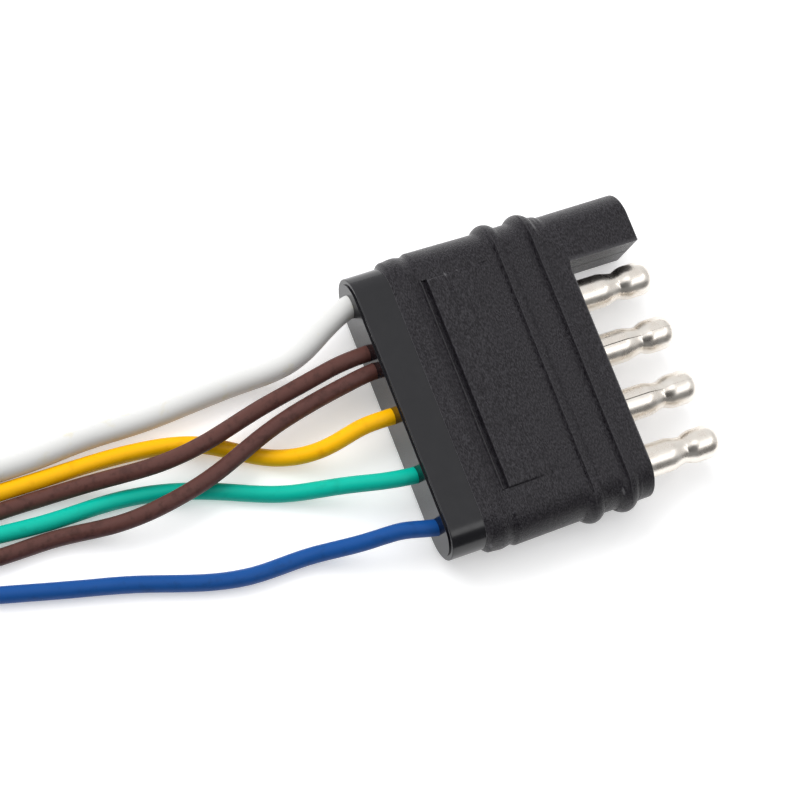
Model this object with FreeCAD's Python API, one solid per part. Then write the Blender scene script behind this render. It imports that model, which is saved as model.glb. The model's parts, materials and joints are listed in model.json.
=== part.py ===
"""Trailer side of a five-way flat wiring connector, with the first stretch of its leads.

Four bullet pins and one shrouded ground socket stand in a row. Each terminal is crimped on its lead
inside an inner moulding, and a ribbed soft overmould is shot round that moulding.

Frame, in millimetres: the origin is the centre of the mating face, on the yellow pin's axis.
+X is the way the pins point, +Y runs along the row towards the ground socket, +Z is up.
"""

import FreeCAD, Part
import math
import os

from FreeCAD import Vector

X_AXIS = Vector(1, 0, 0)
Y_AXIS = Vector(0, 1, 0)
Z_AXIS = Vector(0, 0, 1)
ORIGIN = Vector(0, 0, 0)
CUT_MARGIN = 1.0

# The row of cavities
PITCH = 8.64
CAVITY_Y = {"ground": 2 * PITCH, "brown": PITCH, "yellow": 0.0, "green": -PITCH, "blue": -2 * PITCH}

# Inner moulding: a smooth collar shows behind the overmould, and a thinner core holds the terminals
REAR_FACE_X = -31.9
CORE_REAR_X = -25.2
CORE_FRONT_X = -2.5
COLLAR_HALF_HEIGHT = 4.15
COLLAR_HALF_WIDTH = 21.45
CORE_HALF_HEIGHT = 3.5
CORE_HALF_WIDTH = 20.8
COLLAR_EDGE_RADIUS = 0.15
MOULDING_GAP = 0.02
REAR_STEP_INSET = 0.75
REAR_STEP_HEIGHT = 0.2

# Overmould: a rounded lip, a shallow notch, a body that swells towards the ribs, and a front plate
LIP_REAR_X = -27.0
LIP_FRONT_X = -22.9
LIP_HALF_HEIGHT = 4.65
LIP_HALF_WIDTH = 22.4
LIP_REAR_RADIUS = 1.4
LIP_FRONT_RADIUS = 0.3
NOTCH_FRONT_X = -22.0
NOTCH_HALF_HEIGHT = 4.2
NOTCH_HALF_WIDTH = 21.8
SWELL_END_X = -12.5
BODY_HALF_HEIGHT = 4.65
BODY_HALF_WIDTH = 22.2
FRONT_PLATE_X = -2.3
FRONT_PLATE_HALF_HEIGHT = 4.6
FRONT_PLATE_HALF_WIDTH = 22.1
FRONT_EDGE_RADIUS = 0.25

# Ribs round the overmould
RIB_CENTRES_X = (-9.55, -4.2)
RIB_WIDTH = 2.6
RIB_HALF_HEIGHT = 4.95
RIB_HALF_WIDTH = 23.1
RIB_EDGE_RADIUS = 1.1

# Grip pad on the top and the underside: a low ledge behind a striated plateau
PAD_LEDGE_X = -22.5
PAD_REAR_X = -21.5
PAD_FRONT_X = -12.0
PAD_LOW_Y = -15.0
PAD_HIGH_Y = 16.8
PAD_HALF_HEIGHT = 4.75
PAD_LEDGE_HALF_HEIGHT = 4.5
STRIATION_PITCH = 1.7
STRIATION_WIDTH = 0.35
STRIATION_DEPTH = 0.05

# Shroud tower round the ground socket: half round outside, square on the side that faces the pins
TOWER_LENGTH = 11.4
TOWER_RADIUS = 4.5
TOWER_FLAT_TO_AXIS = 4.1
TOWER_TIP_RADIUS = 0.35

# Terminals, rolled from sheet: (x, outer radius) along each outline
SHEET = 0.45
PIN_RADIUS = 2.48
PIN_BULB_RADIUS = 2.5
PIN_WAIST_RADIUS = 2.13
PIN_WAIST_X = 7.0
PIN_TAPER_START_X = 4.4
PIN_BULB_START_X = 8.7
PIN_BULB_END_X = 10.6
PIN_TIP_X = 12.25
PIN_TIP_RADIUS = 1.6
PIN_SEAM_WIDTH = 0.12
SOCKET_BORE_RADIUS = 2.5
SOCKET_MOUTH_X = 10.4
SOCKET_SLIT_WIDTH = 0.5
TUBE_REAR_X = -6.5
WIRE_BARREL_X = (-13.0, -9.0)
JACKET_BARREL_X = (-18.5, -15.0)
CRIMP_SEAM_WIDTH = 0.3
NECK_FLOOR_SHARE = 0.35
BARREL_GAP = 0.08

# Terminal cavities in the inner moulding
CAVITY_GAP = 0.05
CHAMBER_FRONT_X = -6.4
CHAMBER_REAR_X = -20.0
CHAMBER_RADIUS = 2.75
BROWN_CHAMBER_RADIUS = 3.05

# Leads: seven strands each. The ground lead is the heavier one.
STRANDS_ROUND_CORE = 6
STRAND_GAP = 0.02
SIGNAL_STRAND_RADIUS = 0.2
SIGNAL_JACKET_RADIUS = 1.18
GROUND_STRAND_RADIUS = 0.32
GROUND_JACKET_RADIUS = 1.65
JACKET_BORE_GAP = 0.04
JACKET_FRONT_X = -15.2
STRAND_FRONT_X = -8.8
PIVOT_X = -36.0
PIVOT_GAP = 0.1
STRIP_LENGTH = 5.0

# Where the leads lie. Each route is a curve through these stations behind the crimp.
ROUTE_X = (-15.0, -20.0, -26.0, REAR_FACE_X, PIVOT_X, -42.0, -50.0, -58.0, -66.0, -74.0, -82.0, -90.0, -98.0)
ROUTE_Y = {
    "white": (17.28, 17.28, 17.5, 17.5, 16.0, 13.0, 12.5, 12.0, 11.5, 11.5, 11.0, 11.0, 11.0),
    "brown_upper": (9.88, 9.88, 10.0, 10.2, 10.0, 9.0, 7.5, 5.5, 4.5, 5.0, 5.5, 5.5, 5.0),
    "brown_lower": (7.4, 7.4, 7.4, 7.5, 7.0, 6.0, 4.0, 1.0, -1.0, -1.5, -0.5, -0.5, 0.5),
    "yellow": (0.0, 0.0, 0.3, 0.5, 0.5, -0.5, 1.0, 5.5, 7.5, 8.0, 8.0, 8.0, 7.5),
    "green": (-8.64, -8.64, -8.64, -8.5, -8.0, -6.5, -4.5, -1.5, 1.0, 2.0, 2.0, 2.5, 3.0),
    "blue": (-17.28, -17.28, -17.0, -16.5, -15.5, -15.0, -14.0, -14.0, -12.5, -10.0, -8.0, -6.0, -4.0),
}
REST_HEIGHT = -RIB_HALF_HEIGHT
DROOP_LENGTH = 16.0
CROSSING_DROOP_LENGTH = 14.0
CROSSING_CLEARANCE = 0.25
CROSSING_END_X = -68.0


class Lead:
    """One insulated lead: its two radii, and the cavity whose terminal it is crimped in."""

    def __init__(self, cavity, strand_radius, jacket_radius, crosses_over=False):
        self.cavity = cavity
        self.strand_radius = strand_radius
        self.jacket_radius = jacket_radius
        self.crosses_over = crosses_over
        self.bundle_radius = 3 * strand_radius + STRAND_GAP
        self.bore_radius = self.bundle_radius + JACKET_BORE_GAP
        self.stub_end_x = PIVOT_X + jacket_radius + PIVOT_GAP


LEADS = {
    "white": Lead("ground", GROUND_STRAND_RADIUS, GROUND_JACKET_RADIUS),
    "brown_upper": Lead("brown", SIGNAL_STRAND_RADIUS, SIGNAL_JACKET_RADIUS, crosses_over=True),
    "brown_lower": Lead("brown", SIGNAL_STRAND_RADIUS, SIGNAL_JACKET_RADIUS, crosses_over=True),
    "yellow": Lead("yellow", SIGNAL_STRAND_RADIUS, SIGNAL_JACKET_RADIUS),
    "green": Lead("green", SIGNAL_STRAND_RADIUS, SIGNAL_JACKET_RADIUS),
    "blue": Lead("blue", SIGNAL_STRAND_RADIUS, SIGNAL_JACKET_RADIUS),
}
PIN_SEAM_ANGLES = {"brown": 200.0, "yellow": 86.0, "green": 80.0, "blue": 250.0}


# Shapes that several pieces share

def stadium_wire(x, half_height, half_width):
    """Outline across the row at x: two flats joined by half-round ends."""
    centre_y = half_width - half_height
    upper = [Vector(x, -centre_y, half_height), Vector(x, centre_y, half_height)]
    lower = [Vector(x, centre_y, -half_height), Vector(x, -centre_y, -half_height)]
    end = Part.Arc(upper[1], Vector(x, half_width, 0), lower[0])
    other_end = Part.Arc(lower[1], Vector(x, -half_width, 0), upper[0])
    top = Part.LineSegment(*upper)
    bottom = Part.LineSegment(*lower)
    return Part.Wire([top.toShape(), end.toShape(), bottom.toShape(), other_end.toShape()])


def stadium_block(x_start, x_end, half_height, half_width):
    face = Part.Face(stadium_wire(x_start, half_height, half_width))
    return face.extrude(Vector(x_end - x_start, 0, 0))


def stadium_loft(x_start, start_size, x_end, end_size):
    """Block whose outline changes evenly from one (half height, half width) to another."""
    return Part.makeLoft([stadium_wire(x_start, *start_size), stadium_wire(x_end, *end_size)], True, True)


def edges_at_x(shape, x):
    """Edges that lie wholly in the plane across the row at x."""
    tolerance = 1e-4
    boxes = [(edge, edge.BoundBox) for edge in shape.Edges]
    return [edge for edge, box in boxes if max(abs(box.XMin - x), abs(box.XMax - x)) < tolerance]


def rounded_block(x_start, x_end, size, start_radius, end_radius):
    """Block of the given (half height, half width) with rounded ends."""
    block = stadium_block(x_start, x_end, *size)
    if start_radius:
        block = block.makeFillet(start_radius, edges_at_x(block, x_start))
    if end_radius:
        block = block.makeFillet(end_radius, edges_at_x(block, x_end))
    return block


def rod(radius, x_start, x_end, y=0.0):
    return Part.makeCylinder(radius, x_end - x_start, Vector(x_start, y, 0), X_AXIS)


def fuse_all(shapes):
    return shapes[0].multiFuse(shapes[1:]).removeSplitter()


def one_solid(shape):
    """The single solid of a boolean result."""
    solids = shape.Solids
    if len(solids) != 1:
        raise ValueError("expected one solid, got %d" % len(solids))
    return solids[0]


# Leads

def smooth_step(share):
    share = min(max(share, 0.0), 1.0)
    return share * share * (3 - 2 * share)


def lead_height(lead, x):
    """A lead leaves level with the row and sags to the surface that the connector rests on.
    The brown leads stay one lead higher until they have crossed the yellow and green ones."""
    lying = REST_HEIGHT + lead.jacket_radius
    if not lead.crosses_over:
        return lying * smooth_step((PIVOT_X - x) / DROOP_LENGTH)
    crossing = lying + 2 * lead.jacket_radius + CROSSING_CLEARANCE
    sag = crossing * smooth_step((PIVOT_X - x) / CROSSING_DROOP_LENGTH)
    return sag + (lying - crossing) * smooth_step((CROSSING_END_X - x) / CROSSING_DROOP_LENGTH)


def lead_route(name):
    """Centre-line of a lead from its crimp to its far end."""
    lead = LEADS[name]
    curve = Part.BSplineCurve()
    curve.interpolate([Vector(x, y, lead_height(lead, x)) for x, y in zip(ROUTE_X, ROUTE_Y[name])])
    return curve


def parameter_at_x(curve, x):
    """Where a route passes x, found by halving, as x always falls along it."""
    halvings = 50
    low, high = curve.FirstParameter, curve.LastParameter
    for _ in range(halvings):
        middle = (low + high) / 2
        if curve.value(middle).x > x:
            low = middle
        else:
            high = middle
    return low


def stretch(curve, x_front, x_rear):
    """The part of a route between two places along the row frame's X."""
    part = curve.copy()
    part.segment(parameter_at_x(curve, x_front), parameter_at_x(curve, x_rear))
    return part


def sweep(curve, radius):
    """Solid round rod along a curve."""
    start = curve.value(curve.FirstParameter)
    direction = curve.tangent(curve.FirstParameter)[0]
    pipe = Part.BRepOffsetAPI.MakePipeShell(Part.Wire([curve.toShape()]))
    pipe.setBiNormalMode(Z_AXIS)
    pipe.add(Part.Wire([Part.makeCircle(radius, start, direction)]))
    pipe.build()
    pipe.makeSolid()
    return pipe.shape()


def beside(curve, distance, angle):
    """Curve that keeps a distance from another one, at an angle round it from the horizontal side."""
    spacing = 1.0
    steps = max(2, int(curve.length() / spacing))
    points = []
    for i in range(steps + 1):
        u = curve.FirstParameter + (curve.LastParameter - curve.FirstParameter) * i / steps
        direction = Vector(*curve.tangent(u)[0])
        side = direction.cross(Z_AXIS).normalize()
        above = side.cross(direction)
        offset = side * math.cos(angle) + above * math.sin(angle)
        points.append(curve.value(u) + offset * distance)
    parallel = Part.BSplineCurve()
    parallel.interpolate(points)
    return parallel


def strand_bundle(curve, strand_radius):
    """Seven separate strands: one along the curve and six round it."""
    distance = 2 * strand_radius + STRAND_GAP
    bundle = [sweep(curve, strand_radius)]
    for i in range(STRANDS_ROUND_CORE):
        angle = 2 * math.pi * i / STRANDS_ROUND_CORE
        bundle.append(sweep(beside(curve, distance, angle), strand_radius))
    return Part.makeCompound(bundle)


def fixed_jacket(name):
    """Insulation from the crimp to just short of the bend behind the rear face."""
    lead = LEADS[name]
    curve = stretch(lead_route(name), JACKET_FRONT_X, lead.stub_end_x)
    return one_solid(sweep(curve, lead.jacket_radius).cut(sweep(curve, lead.bore_radius)))


def free_jacket(name):
    """Insulation from the bend to the stripped end. Its round nose is centred on the bend."""
    lead = LEADS[name]
    route = lead_route(name)
    curve = stretch(route, PIVOT_X, ROUTE_X[-1] + STRIP_LENGTH)
    pivot = curve.value(curve.FirstParameter)
    outside = sweep(curve, lead.jacket_radius).fuse(Part.makeSphere(lead.jacket_radius, pivot))
    return one_solid(outside.cut(sweep(curve, lead.bore_radius)))


def conductor_point(name, x):
    """Centre of the strand bundle at x: on the route inside the jacket, and closer to the
    terminal's axis in the wire barrel, where two bare bundles lie side by side."""
    lead = LEADS[name]
    route = lead_route(name)
    if x < route.StartPoint.x:
        return route.value(parameter_at_x(route, x))
    axis_y = CAVITY_Y[lead.cavity]
    covered_offset = ROUTE_Y[name][0] - axis_y
    bare_offset = covered_offset * (lead.bundle_radius + BARREL_GAP) / (lead.jacket_radius + BARREL_GAP)
    share = smooth_step((WIRE_BARREL_X[0] - x) / (WIRE_BARREL_X[0] - route.StartPoint.x))
    return Vector(x, axis_y + bare_offset + (covered_offset - bare_offset) * share, 0)


def fixed_strands(name):
    """Bare strands start in the wire barrel and end inside the fixed jacket."""
    lead = LEADS[name]
    steps = 20
    span = lead.stub_end_x - STRAND_FRONT_X
    curve = Part.BSplineCurve()
    curve.interpolate([conductor_point(name, STRAND_FRONT_X + span * i / steps) for i in range(steps + 1)])
    return strand_bundle(curve, lead.strand_radius)


def free_strands(name):
    lead = LEADS[name]
    strand_start_x = PIVOT_X - PIVOT_GAP
    return strand_bundle(stretch(lead_route(name), strand_start_x, ROUTE_X[-1]), lead.strand_radius)


# Terminals

def barrel_radii(cavity):
    """Inside radii of a terminal's wire barrel and jacket barrel, for the one or two leads it holds."""
    leads = [lead for lead in LEADS.values() if lead.cavity == cavity]
    if len(leads) == 1:
        return leads[0].bundle_radius + BARREL_GAP, leads[0].jacket_radius + BARREL_GAP
    return 2 * leads[0].bundle_radius + 2 * BARREL_GAP, 2 * leads[0].jacket_radius + 2 * BARREL_GAP


def revolve(points):
    """Solid of revolution about the X axis from a closed outline of (x, radius) points."""
    outline = Part.makePolygon([Vector(x, 0, r) for x, r in points + points[:1]])
    return Part.Face(outline).revolve(ORIGIN, X_AXIS, 360)


def open_top(x_start, x_end, size):
    """Block that takes everything above the lower third away, so that a neck is left."""
    floor = -NECK_FLOOR_SHARE * size
    return Part.makeBox(x_end - x_start, 2 * size, 2 * size, Vector(x_start, -size, floor))


def seam(x_start, x_end, width, angle):
    """Thin slot through a rolled wall, at an angle round the X axis from +Y towards +Z."""
    slot = Part.makeBox(x_end - x_start, 2 * PIN_RADIUS, width, Vector(x_start, 0, -width / 2))
    slot.rotate(ORIGIN, X_AXIS, angle)
    return slot


def crimp_end(cavity, tube_radius):
    """Rear of a terminal, from its tube's end: neck, wire barrel, neck, jacket barrel."""
    wire_radius, jacket_radius = barrel_radii(cavity)
    stations = [
        (TUBE_REAR_X, tube_radius - SHEET),
        (WIRE_BARREL_X[1], wire_radius),
        (WIRE_BARREL_X[0], wire_radius),
        (JACKET_BARREL_X[1], jacket_radius),
        (JACKET_BARREL_X[0], jacket_radius),
    ]
    inside = list(stations)
    outside = [(x, r + SHEET) for x, r in reversed(stations)]
    shell = revolve(inside + outside)
    crimp_seams = [seam(x0, x1, CRIMP_SEAM_WIDTH, 90.0) for x0, x1 in (WIRE_BARREL_X, JACKET_BARREL_X)]
    necks = [
        open_top(WIRE_BARREL_X[1], TUBE_REAR_X, tube_radius),
        open_top(JACKET_BARREL_X[1], WIRE_BARREL_X[0], jacket_radius + SHEET),
    ]
    return shell.cut(Part.makeCompound(crimp_seams)).cut(Part.makeCompound(necks))


def nose_arc(bulb_end, tip):
    """Arc that leaves the bulb level, so that it is nowhere wider than the bulb, and ends at the tip."""
    length = tip.x - bulb_end.x
    drop = bulb_end.z - tip.z
    radius = (length ** 2 + drop ** 2) / (2 * drop)
    half_turn = math.asin(length / radius) / 2
    middle_x = bulb_end.x + radius * math.sin(half_turn)
    middle_z = bulb_end.z - radius * (1 - math.cos(half_turn))
    return Part.Arc(bulb_end, Vector(middle_x, 0, middle_z), tip)


def pin_outline():
    """Closed outline of the bullet's rolled wall: a tube, a waist, a bulb and a round nose."""
    outer_waist = Part.BSplineCurve()
    inner_waist = Part.BSplineCurve()
    waist = [
        (PIN_TAPER_START_X, PIN_RADIUS),
        (PIN_WAIST_X, PIN_WAIST_RADIUS),
        (PIN_BULB_START_X, PIN_BULB_RADIUS),
    ]
    flat_ends = {"InitialTangent": X_AXIS, "FinalTangent": X_AXIS}
    outer_waist.interpolate(Points=[Vector(x, 0, r) for x, r in waist], **flat_ends)
    inner_waist.interpolate(Points=[Vector(x, 0, r - SHEET) for x, r in waist], **flat_ends)
    corners = [
        Vector(TUBE_REAR_X, 0, PIN_RADIUS),
        Vector(PIN_TAPER_START_X, 0, PIN_RADIUS),
        Vector(PIN_BULB_START_X, 0, PIN_BULB_RADIUS),
        Vector(PIN_BULB_END_X, 0, PIN_BULB_RADIUS),
        Vector(PIN_TIP_X, 0, PIN_TIP_RADIUS),
        Vector(PIN_TIP_X, 0, PIN_TIP_RADIUS - 2 * SHEET),
        Vector(PIN_TIP_X - SHEET, 0, PIN_TIP_RADIUS - 2 * SHEET),
        Vector(PIN_TIP_X - SHEET, 0, PIN_TIP_RADIUS - SHEET),
        Vector(PIN_BULB_END_X, 0, PIN_BULB_RADIUS - SHEET),
        Vector(PIN_BULB_START_X, 0, PIN_BULB_RADIUS - SHEET),
        Vector(PIN_TAPER_START_X, 0, PIN_RADIUS - SHEET),
        Vector(TUBE_REAR_X, 0, PIN_RADIUS - SHEET),
    ]
    pieces = [
        Part.LineSegment(corners[0], corners[1]),
        outer_waist,
        Part.LineSegment(corners[2], corners[3]),
        nose_arc(corners[3], corners[4]),
        Part.LineSegment(corners[4], corners[5]),
        Part.LineSegment(corners[5], corners[6]),
        Part.LineSegment(corners[6], corners[7]),
        nose_arc(corners[8], corners[7]),
        Part.LineSegment(corners[8], corners[9]),
        inner_waist,
        Part.LineSegment(corners[10], corners[11]),
        Part.LineSegment(corners[11], corners[0]),
    ]
    return Part.Wire(Part.__sortEdges__([piece.toShape() for piece in pieces]))


def bullet_pin(cavity):
    """Rolled bullet with its crimp end, on its cavity's axis."""
    tube = Part.Face(pin_outline()).revolve(ORIGIN, X_AXIS, 360)
    tube = tube.cut(seam(TUBE_REAR_X, PIN_WAIST_X, PIN_SEAM_WIDTH, PIN_SEAM_ANGLES[cavity]))
    pin = fuse_all([tube, crimp_end(cavity, PIN_RADIUS)])
    pin.translate(Vector(0, CAVITY_Y[cavity], 0))
    return one_solid(pin)


def ground_socket():
    """Rolled, slit socket that takes the other half's pin, with its crimp end."""
    outer_radius = SOCKET_BORE_RADIUS + SHEET
    tube = rod(outer_radius, TUBE_REAR_X, SOCKET_MOUTH_X)
    tube = tube.cut(rod(SOCKET_BORE_RADIUS, TUBE_REAR_X, SOCKET_MOUTH_X))
    tube = tube.cut(seam(TUBE_REAR_X, SOCKET_MOUTH_X, SOCKET_SLIT_WIDTH, 90.0))
    socket = fuse_all([tube, crimp_end("ground", outer_radius)])
    socket.translate(Vector(0, CAVITY_Y["ground"], 0))
    return one_solid(socket)


def tube_bore_radius(cavity):
    """Radius of the close bore round a terminal's tube."""
    if cavity == "ground":
        return SOCKET_BORE_RADIUS + SHEET + CAVITY_GAP
    return PIN_RADIUS + CAVITY_GAP


# Mouldings

def terminal_cavities():
    """What the inner moulding leaves free: close bores, crimp chambers and lead exits."""
    holes = []
    for cavity, y in CAVITY_Y.items():
        chamber_radius = CHAMBER_RADIUS
        if cavity == "brown":
            chamber_radius = BROWN_CHAMBER_RADIUS
        holes.append(rod(tube_bore_radius(cavity), CHAMBER_REAR_X, CORE_FRONT_X, y))
        holes.append(rod(chamber_radius, CHAMBER_REAR_X, CHAMBER_FRONT_X, y))
    for name, lead in LEADS.items():
        exit_stretch = stretch(lead_route(name), CHAMBER_REAR_X + CUT_MARGIN, PIVOT_X)
        holes.append(sweep(exit_stretch, lead.jacket_radius + CAVITY_GAP))
    return holes


def rear_step():
    """Raised middle of the rear face, where the leads come out."""
    size = (COLLAR_HALF_HEIGHT - REAR_STEP_INSET, COLLAR_HALF_WIDTH - REAR_STEP_INSET)
    return stadium_block(REAR_FACE_X - REAR_STEP_HEIGHT, CORE_REAR_X, *size)


def inner_moulding():
    collar = stadium_block(REAR_FACE_X, CORE_REAR_X, COLLAR_HALF_HEIGHT, COLLAR_HALF_WIDTH)
    collar = collar.makeFillet(COLLAR_EDGE_RADIUS, edges_at_x(collar, REAR_FACE_X))
    core = stadium_block(CORE_REAR_X, CORE_FRONT_X, CORE_HALF_HEIGHT, CORE_HALF_WIDTH)
    solid = fuse_all([collar, core, rear_step()])
    for hole in terminal_cavities():
        solid = solid.cut(hole)
    return one_solid(solid)


def moulding_space():
    """The inner moulding's outer form with a small gap, which the overmould wraps."""
    gap = MOULDING_GAP
    collar = stadium_block(REAR_FACE_X, CORE_REAR_X + gap, COLLAR_HALF_HEIGHT + gap, COLLAR_HALF_WIDTH + gap)
    core = stadium_block(CORE_REAR_X, CORE_FRONT_X + gap, CORE_HALF_HEIGHT + gap, CORE_HALF_WIDTH + gap)
    return fuse_all([collar, core])


def grip_pad(side):
    """Ledge and striated plateau on the top (side 1) or the underside (side -1)."""
    width = PAD_HIGH_Y - PAD_LOW_Y
    ledge = Part.makeBox(
        PAD_REAR_X - PAD_LEDGE_X, width, PAD_LEDGE_HALF_HEIGHT - CORE_HALF_HEIGHT,
        Vector(PAD_LEDGE_X, PAD_LOW_Y, CORE_HALF_HEIGHT),
    )
    plateau = Part.makeBox(
        PAD_FRONT_X - PAD_REAR_X, width, PAD_HALF_HEIGHT - CORE_HALF_HEIGHT,
        Vector(PAD_REAR_X, PAD_LOW_Y, CORE_HALF_HEIGHT),
    )
    pad = ledge.fuse(plateau)
    grooves = []
    x = PAD_REAR_X + STRIATION_PITCH
    while x < SWELL_END_X - STRIATION_PITCH:
        corner = Vector(x, PAD_LOW_Y + STRIATION_PITCH, PAD_HALF_HEIGHT - STRIATION_DEPTH)
        length = width - 2 * STRIATION_PITCH
        grooves.append(Part.makeBox(STRIATION_WIDTH, length, 2 * STRIATION_DEPTH, corner))
        x += STRIATION_PITCH
    pad = pad.cut(Part.makeCompound(grooves))
    if side < 0:
        pad = pad.mirror(ORIGIN, Z_AXIS)
    return pad


def tower():
    """D-shaped shroud that stands out of the mating face round the ground socket."""
    centre_y = CAVITY_Y["ground"]
    flat_y = centre_y - TOWER_FLAT_TO_AXIS
    upper = [Vector(FRONT_PLATE_X, flat_y, TOWER_RADIUS), Vector(FRONT_PLATE_X, centre_y, TOWER_RADIUS)]
    lower = [Vector(FRONT_PLATE_X, centre_y, -TOWER_RADIUS), Vector(FRONT_PLATE_X, flat_y, -TOWER_RADIUS)]
    outline = Part.Wire([
        Part.LineSegment(*upper).toShape(),
        Part.Arc(upper[1], Vector(FRONT_PLATE_X, centre_y + TOWER_RADIUS, 0), lower[0]).toShape(),
        Part.LineSegment(*lower).toShape(),
        Part.LineSegment(lower[1], upper[0]).toShape(),
    ])
    block = Part.Face(outline).extrude(Vector(TOWER_LENGTH - FRONT_PLATE_X, 0, 0))
    return block.makeFillet(TOWER_TIP_RADIUS, edges_at_x(block, TOWER_LENGTH))


def overmould():
    lip_size = (LIP_HALF_HEIGHT, LIP_HALF_WIDTH)
    lip = rounded_block(LIP_REAR_X, LIP_FRONT_X, lip_size, LIP_REAR_RADIUS, LIP_FRONT_RADIUS)
    notch = stadium_block(LIP_FRONT_X, NOTCH_FRONT_X, NOTCH_HALF_HEIGHT, NOTCH_HALF_WIDTH)
    body_size = (BODY_HALF_HEIGHT, BODY_HALF_WIDTH)
    swell = stadium_loft(NOTCH_FRONT_X, (NOTCH_HALF_HEIGHT, BODY_HALF_WIDTH), SWELL_END_X, body_size)
    body = stadium_block(SWELL_END_X, FRONT_PLATE_X, *body_size)
    plate_size = (FRONT_PLATE_HALF_HEIGHT, FRONT_PLATE_HALF_WIDTH)
    plate = rounded_block(FRONT_PLATE_X, 0.0, plate_size, 0.0, FRONT_EDGE_RADIUS)
    rib_size = (RIB_HALF_HEIGHT, RIB_HALF_WIDTH)
    ribs = []
    for centre_x in RIB_CENTRES_X:
        x_start = centre_x - RIB_WIDTH / 2
        x_end = centre_x + RIB_WIDTH / 2
        ribs.append(rounded_block(x_start, x_end, rib_size, RIB_EDGE_RADIUS, RIB_EDGE_RADIUS))
    outside = fuse_all([lip, notch, swell, body, plate, tower(), grip_pad(1), grip_pad(-1)] + ribs)
    shell = outside.cut(moulding_space())
    for cavity, y in CAVITY_Y.items():
        bore = rod(tube_bore_radius(cavity), CORE_FRONT_X - CUT_MARGIN, TOWER_LENGTH + CUT_MARGIN, y)
        shell = shell.cut(bore)
    return one_solid(shell)


def all_pieces():
    pieces = {"overmould": overmould(), "inner_moulding": inner_moulding(), "ground_socket": ground_socket()}
    for cavity in PIN_SEAM_ANGLES:
        pieces[cavity + "_pin"] = bullet_pin(cavity)
    for name in LEADS:
        pieces[name + "_jacket_fixed"] = fixed_jacket(name)
        pieces[name + "_jacket_free"] = free_jacket(name)
        pieces[name + "_strands_fixed"] = fixed_strands(name)
        pieces[name + "_strands_free"] = free_strands(name)
    return pieces


def main():
    os.makedirs("parts", exist_ok=True)
    for name, shape in all_pieces().items():
        shape.exportStep(os.path.join("parts", name + ".step"))


main()
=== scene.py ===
"""Looks of the trailer wiring connector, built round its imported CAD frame.

Metres, in the frame's own axes: +X is the way the pins point, +Y runs along the row towards the
ground socket, +Z is up. The origin is the centre of the mating face, on the yellow pin's axis.
"""

import json
import math

import bmesh
import bpy
import numpy as np
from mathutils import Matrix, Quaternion, Vector
from mathutils.geometry import tessellate_polygon

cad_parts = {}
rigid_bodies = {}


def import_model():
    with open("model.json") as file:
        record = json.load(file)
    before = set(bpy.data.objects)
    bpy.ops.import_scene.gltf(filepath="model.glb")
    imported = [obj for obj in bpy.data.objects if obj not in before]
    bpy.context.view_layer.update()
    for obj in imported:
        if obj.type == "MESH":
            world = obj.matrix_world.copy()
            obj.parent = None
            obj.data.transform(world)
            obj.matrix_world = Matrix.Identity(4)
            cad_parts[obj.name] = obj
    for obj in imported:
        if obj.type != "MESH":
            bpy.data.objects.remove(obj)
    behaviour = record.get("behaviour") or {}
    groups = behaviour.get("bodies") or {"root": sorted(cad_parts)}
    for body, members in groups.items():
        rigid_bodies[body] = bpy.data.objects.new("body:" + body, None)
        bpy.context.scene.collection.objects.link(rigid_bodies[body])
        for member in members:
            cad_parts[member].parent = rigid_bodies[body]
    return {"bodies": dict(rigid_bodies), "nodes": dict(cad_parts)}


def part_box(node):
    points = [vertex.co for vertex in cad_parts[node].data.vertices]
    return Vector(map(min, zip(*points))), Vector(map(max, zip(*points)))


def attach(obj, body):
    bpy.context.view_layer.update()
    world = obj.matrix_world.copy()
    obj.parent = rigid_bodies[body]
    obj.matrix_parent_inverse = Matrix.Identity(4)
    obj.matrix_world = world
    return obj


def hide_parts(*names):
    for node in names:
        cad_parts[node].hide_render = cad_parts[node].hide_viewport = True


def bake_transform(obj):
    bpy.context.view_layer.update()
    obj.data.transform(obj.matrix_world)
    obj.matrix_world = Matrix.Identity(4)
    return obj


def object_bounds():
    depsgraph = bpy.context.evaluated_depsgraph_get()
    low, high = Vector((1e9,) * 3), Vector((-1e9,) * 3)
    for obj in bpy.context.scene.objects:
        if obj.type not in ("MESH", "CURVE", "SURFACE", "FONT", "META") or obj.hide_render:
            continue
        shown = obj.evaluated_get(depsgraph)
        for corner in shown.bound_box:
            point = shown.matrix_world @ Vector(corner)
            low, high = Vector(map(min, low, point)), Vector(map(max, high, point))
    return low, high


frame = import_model()
cad_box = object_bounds()

MM = 0.001

# Sizes taken from the frame
OVERMOULD_LOW, OVERMOULD_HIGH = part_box("overmould")
MOULDING_LOW, MOULDING_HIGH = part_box("inner_moulding")
SOCKET_LOW, SOCKET_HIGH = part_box("ground_socket")
PIN_NODES = [name for name in frame["nodes"] if name.endswith("_pin")]
LEAD_NAMES = [name[: -len("_lead")] for name in frame["bodies"] if name.endswith("_lead")]
FLOOR_Z = cad_box[0].z
LIP_REAR_X = OVERMOULD_LOW.x
TOWER_TIP_X = OVERMOULD_HIGH.x
RIB_HALF_HEIGHT = OVERMOULD_HIGH.z
RIB_HALF_WIDTH = -OVERMOULD_LOW.y
COLLAR_HALF_HEIGHT = MOULDING_HIGH.z
COLLAR_HALF_WIDTH = MOULDING_HIGH.y
SOCKET_Y = (SOCKET_LOW.y + SOCKET_HIGH.y) / 2

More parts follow.
